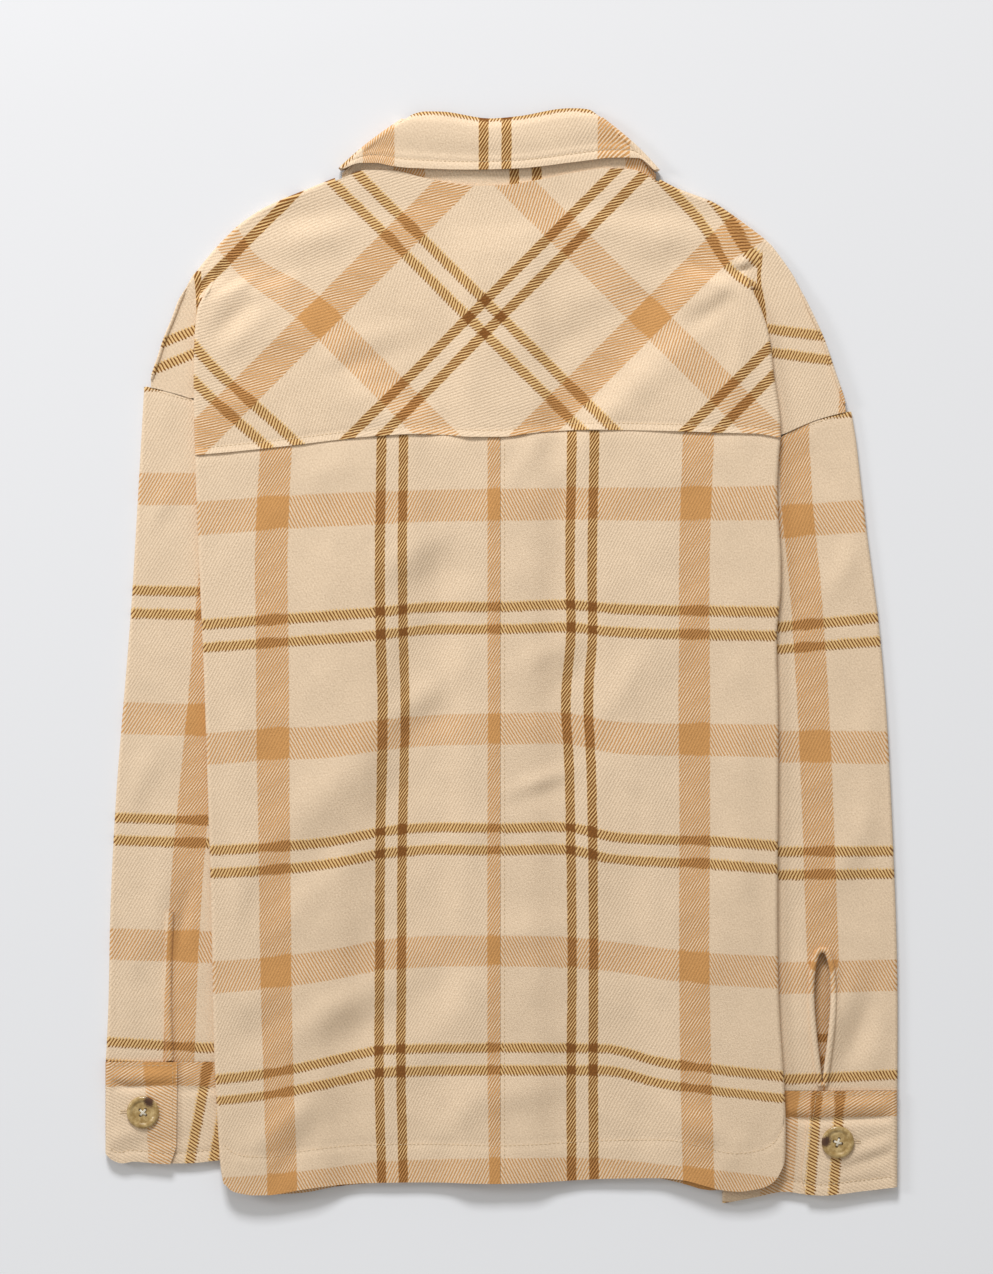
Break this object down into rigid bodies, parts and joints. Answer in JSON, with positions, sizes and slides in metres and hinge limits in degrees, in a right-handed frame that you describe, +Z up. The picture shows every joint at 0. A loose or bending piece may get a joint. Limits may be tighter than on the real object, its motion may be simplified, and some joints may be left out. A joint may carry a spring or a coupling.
{
  "type": "shirt jacket",
  "caption": "Loose long-sleeved plaid flannel shirt jacket with a bias back yoke, folded collar and buttoned cuffs, buttoned and laid flat with its back up.",
  "frame": {"origin": "on the surface that the jacket lies on, under the middle of its outline", "axes": "+Y towards the collar, +X towards the wearer's right sleeve, +Z up, out of the back that shows"},
  "size_m": [0.5619, 0.7755, 0.0127],
  "materials": {
    "flannel": "brushed flannel twill, cream with tan and dark brown check",
    "flannel_bias": "the same flannel cut on the bias",
    "horn": "horn look, olive brown, marbled"
  },
  "bodies": {
    "root": {"yoke": "flannel_bias", "back_left": "flannel", "back_right": "flannel", "front_left": "flannel", "front_right": "flannel", "collar_leaf": "flannel", "collar_stand": "flannel", "sleeve_left_upper": "flannel", "sleeve_left_under": "flannel", "sleeve_right_upper": "flannel", "sleeve_right_under": "flannel", "slit_binding_left": "flannel", "slit_binding_right": "flannel", "cuff_left": "flannel", "cuff_right": "flannel", "button_cuff_left": "horn", "button_cuff_right": "horn", "button_front_1": "horn", "button_front_2": "horn", "button_front_3": "horn", "button_front_4": "horn", "button_front_5": "horn", "button_front_6": "horn"}
  },
  "joints": []
}
